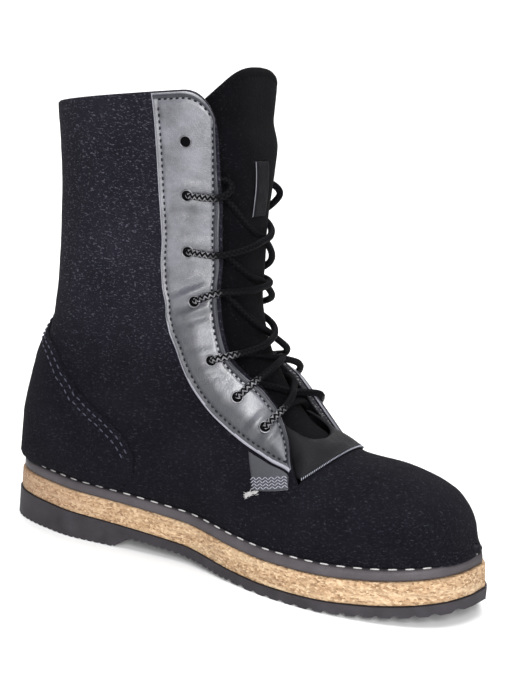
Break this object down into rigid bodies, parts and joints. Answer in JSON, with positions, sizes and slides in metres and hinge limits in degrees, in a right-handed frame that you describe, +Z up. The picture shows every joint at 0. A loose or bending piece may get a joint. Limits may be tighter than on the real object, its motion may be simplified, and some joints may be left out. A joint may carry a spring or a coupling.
{
  "type": "felt boot",
  "caption": "Ankle-high lace-up boot of black felt with leather eyelet facings, a leather welt, a cork midsole and a thin rubber sole with a low heel.",
  "frame": {"origin": "middle of the boot's outline, on the floor", "axes": "+X towards the toe, +Y towards the wearer's lateral (left) side, +Z up"},
  "size_m": [0.292, 0.114, 0.2711],
  "materials": {
    "felt": "dense black wool felt, matte, with pale fibre flecks",
    "insole_felt": "pale grey felt",
    "facing_leather": "smooth blue-black leather, half gloss",
    "insert_leather": "smooth grey-black leather, half gloss",
    "keeper_leather": "smooth grey leather",
    "welt_leather": "dark grey edge-dyed leather strip",
    "cork": "granulated cork, matte",
    "rubber": "dark grey moulded rubber, matte",
    "lace": "round black braid with a pale grey zigzag",
    "eyelet_metal": "small bright metal rings"
  },
  "bodies": {
    "root": {"upper": "felt", "counter": "felt", "tongue": "felt", "insole": "insole_felt", "eyestay_medial": "facing_leather", "eyestay_lateral": "facing_leather", "facing_tab_medial": "facing_leather", "facing_tab_lateral": "facing_leather", "vamp_insert": "insert_leather", "tongue_keeper": "keeper_leather", "welt": "welt_leather", "midsole": "cork", "outsole": "rubber", "lace_bar": "lace", "lace_cross_1": "lace", "lace_cross_2": "lace", "lace_cross_3": "lace", "lace_cross_4": "lace", "lace_cross_5": "lace", "lace_end_medial": "lace", "lace_end_lateral": "lace", "eyelet_medial_1": "eyelet_metal", "eyelet_medial_2": "eyelet_metal", "eyelet_medial_3": "eyelet_metal", "eyelet_medial_4": "eyelet_metal", "eyelet_medial_5": "eyelet_metal", "eyelet_medial_6": "eyelet_metal", "eyelet_medial_7": "eyelet_metal", "eyelet_lateral_1": "eyelet_metal", "eyelet_lateral_2": "eyelet_metal", "eyelet_lateral_3": "eyelet_metal", "eyelet_lateral_4": "eyelet_metal", "eyelet_lateral_5": "eyelet_metal", "eyelet_lateral_6": "eyelet_metal", "eyelet_lateral_7": "eyelet_metal"}
  },
  "joints": []
}
